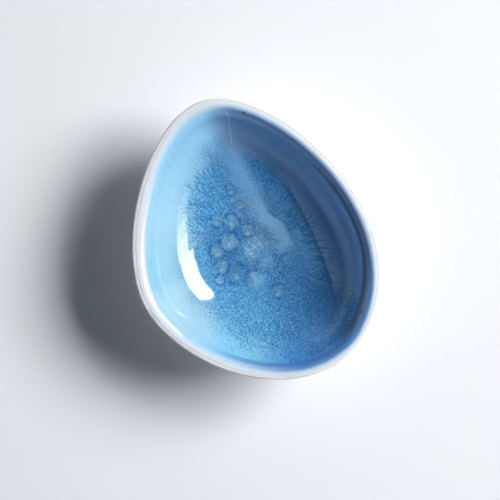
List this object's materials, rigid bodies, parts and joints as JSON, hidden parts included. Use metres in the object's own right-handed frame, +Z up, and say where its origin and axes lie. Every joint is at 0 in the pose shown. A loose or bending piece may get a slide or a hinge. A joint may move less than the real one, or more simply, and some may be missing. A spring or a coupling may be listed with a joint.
{
  "type": "dip bowl",
  "caption": "Small egg-shaped dip bowl of glazed stoneware with a rounded white rim, a blue glazed hollow and a low foot ring.",
  "frame": {"origin": "on the table plane, under the middle of the rim's length and width", "axes": "+Z up through the hollow, +X along the bowl's length towards its narrow end, +Y across it"},
  "size_m": [0.1062, 0.0864, 0.0335],
  "materials": {
    "clay": "bare fired stoneware, matt and slightly rough",
    "white_glaze": "glossy milk-white glaze",
    "blue_glaze": "thick glossy blue glaze, deeper where it has pooled"
  },
  "bodies": {
    "root": {"clay_body": "clay", "foot_ring": "clay", "white_glaze": "white_glaze", "blue_glaze": "blue_glaze", "foot_well_glaze": "white_glaze"}
  },
  "joints": []
}
